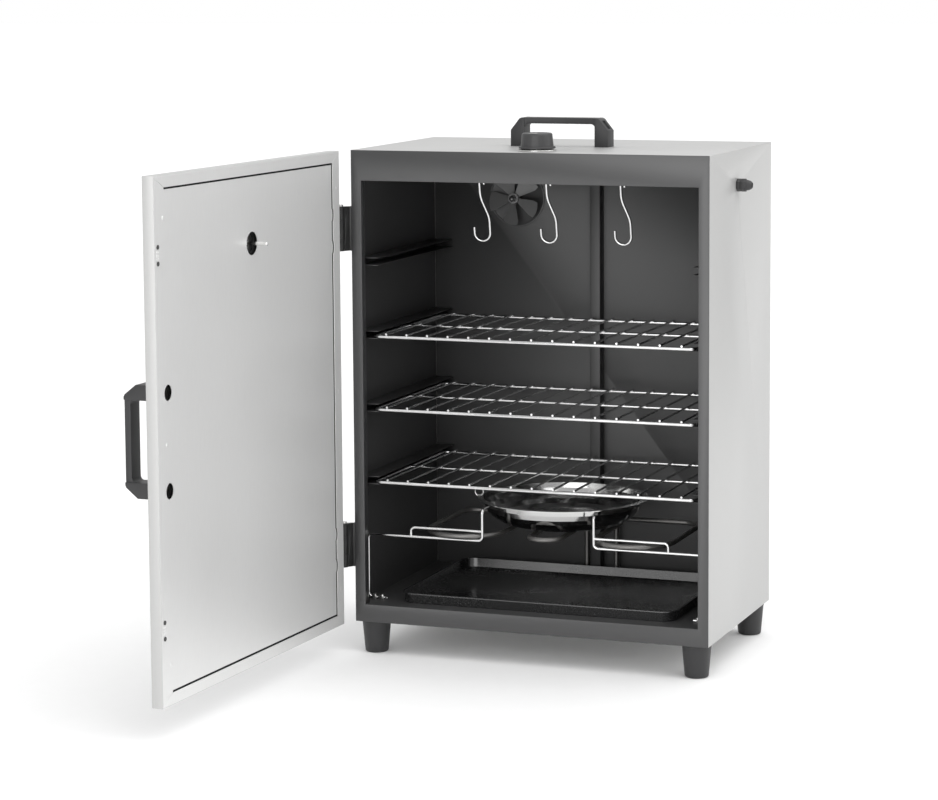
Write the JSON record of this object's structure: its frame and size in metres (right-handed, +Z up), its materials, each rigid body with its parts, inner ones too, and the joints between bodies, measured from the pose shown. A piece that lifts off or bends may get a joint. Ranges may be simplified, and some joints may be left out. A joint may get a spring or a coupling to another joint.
{
  "type": "cabinet smoker",
  "caption": "Upright electric smoking cabinet with a hinged door standing open, wire racks on runners, hanging hooks, and a water bowl held by a wire guard over a bent tubular heater.",
  "frame": {"origin": "on the floor, under the middle of the cabinet box", "axes": "+Z up, +Y from the front of the cabinet to its back, +X to the right as seen from the front"},
  "size_m": [0.6085, 0.8746, 0.728],
  "materials": {
    "outer_steel": "light satin sheet",
    "frame_steel": "dark grey satin, low sheen",
    "chamber_steel": "dull dark sheet",
    "runner_steel": "folded bright sheet edges",
    "chrome_wire": "bright plated wire",
    "bowl_steel": "polished pressing",
    "tray_enamel": "semi-gloss dark enamel",
    "heater_tube": "heat-dulled sheath",
    "black_plastic": "fine grained moulding",
    "foot_plastic": "moulded",
    "knob_plastic": "fine grained moulding",
    "white_plastic": "moulded",
    "seal_rubber": "soft",
    "zinc_screw": "zinc plated",
    "black_screw": "blackened",
    "hinge_black": "powder coat",
    "fan_alloy": "stamped sheet",
    "motor_metal": "laminated stack",
    "magnet_black": "moulded case",
    "gauge_steel": "polished",
    "gauge_glass": "clear",
    "gauge_dial": "matt white print",
    "gauge_pointer": "matt"
  },
  "bodies": {
    "cabinet": {"side_left": "outer_steel", "side_right": "outer_steel", "top_panel": "outer_steel", "back_panel": "chamber_steel", "base_panel": "outer_steel", "floor_panel": "chamber_steel", "ceiling_panel": "chamber_steel", "front_frame": "frame_steel", "back_channel": "chamber_steel", "runners_1": "runner_steel", "runners_2": "runner_steel", "runners_3": "runner_steel", "runners_4": "runner_steel", "foot_front_left": "foot_plastic", "foot_front_right": "foot_plastic", "foot_rear_left": "foot_plastic", "foot_rear_right": "foot_plastic", "foot_screws": "zinc_screw", "bowl_guard": "chrome_wire", "guard_clips": "zinc_screw", "heater": "heater_tube", "heater_plate": "zinc_screw", "hanging_rod": "chrome_wire", "rod_sockets": "runner_steel", "fan_motor": "motor_metal", "motor_cover": "outer_steel", "top_handle": "black_plastic", "top_handle_screws": "zinc_screw", "control_bezel": "zinc_screw", "control_body": "white_plastic", "gland_body": "black_plastic", "gland_cap": "black_plastic", "gland_seal": "seal_rubber", "gland_locknut": "black_plastic", "hinge_cabinet_leaves": "hinge_black", "hinge_pins": "zinc_screw", "hinge_screws": "black_screw"},
    "door": {"door_shell": "outer_steel", "door_inner": "outer_steel", "door_handle": "black_plastic", "door_screws": "zinc_screw", "door_magnets": "magnet_black", "thermometer_case": "gauge_steel", "thermometer_glass": "gauge_glass", "thermometer_dial": "gauge_dial", "thermometer_nut": "zinc_screw", "hinge_door_leaves": "hinge_black"},
    "pointer": {"thermometer_pointer": "gauge_pointer"},
    "rack_lower_body": {"rack_lower": "chrome_wire"},
    "rack_middle_body": {"rack_middle": "chrome_wire"},
    "rack_upper_body": {"rack_upper": "chrome_wire"},
    "tray": {"drip_tray": "tray_enamel"},
    "bowl": {"water_bowl": "bowl_steel"},
    "hook_left_body": {"hook_left": "chrome_wire"},
    "hook_middle_body": {"hook_middle": "chrome_wire"},
    "hook_right_body": {"hook_right": "chrome_wire"},
    "fan": {"fan_rotor": "fan_alloy", "fan_shaft": "motor_metal"},
    "knob": {"control_knob": "knob_plastic", "control_spindle": "zinc_screw"}
  },
  "joints": [
    {"name": "door_swing", "type": "hinge", "parent": "cabinet", "child": "door", "pos_m": [-0.263, -0.163, 0.3665], "axis": [0, 0, 1], "range_deg": [-12, 93]},
    {"name": "pointer_turn", "type": "hinge", "parent": "door", "child": "pointer", "pos_m": [-0.28675, -0.42512, 0.587], "axis": [-0.9986, 0.0523, 0], "range_deg": [-270, 0]},
    {"name": "rack_lower_slide", "type": "slide", "parent": "cabinet", "child": "rack_lower_body", "axis": [0, 1, 0], "range_m": [-0.2, 0]},
    {"name": "rack_middle_slide", "type": "slide", "parent": "cabinet", "child": "rack_middle_body", "axis": [0, 1, 0], "range_m": [-0.2, 0]},
    {"name": "rack_upper_slide", "type": "slide", "parent": "cabinet", "child": "rack_upper_body", "axis": [0, 1, 0], "range_m": [-0.2, 0]},
    {"name": "tray_slide", "type": "slide", "parent": "cabinet", "child": "tray", "axis": [0, 1, 0], "range_m": [-0.2, 0]},
    {"name": "bowl_lift", "type": "slide", "parent": "cabinet", "child": "bowl", "axis": [0, 0, 1], "range_m": [0, 0.015]},
    {"name": "hook_left_swing", "type": "hinge", "parent": "cabinet", "child": "hook_left_body", "pos_m": [-0.101, -0.051, 0.6467], "axis": [1, 0, 0], "range_deg": [-60, 60]},
    {"name": "hook_middle_swing", "type": "hinge", "parent": "cabinet", "child": "hook_middle_body", "pos_m": [-0.005, -0.051, 0.6467], "axis": [1, 0, 0], "range_deg": [-60, 60]},
    {"name": "hook_right_swing", "type": "hinge", "parent": "cabinet", "child": "hook_right_body", "pos_m": [0.1, -0.051, 0.6467], "axis": [1, 0, 0], "range_deg": [-60, 60]},
    {"name": "fan_spin", "type": "hinge", "parent": "cabinet", "child": "fan", "pos_m": [-0.123, 0.1418, 0.604], "axis": [0, 1, 0], "continuous": true},
    {"name": "knob_turn", "type": "hinge", "parent": "cabinet", "child": "knob", "pos_m": [0, -0.11, 0.7], "axis": [0, 0, 1], "range_deg": [-270, 0]}
  ]
}
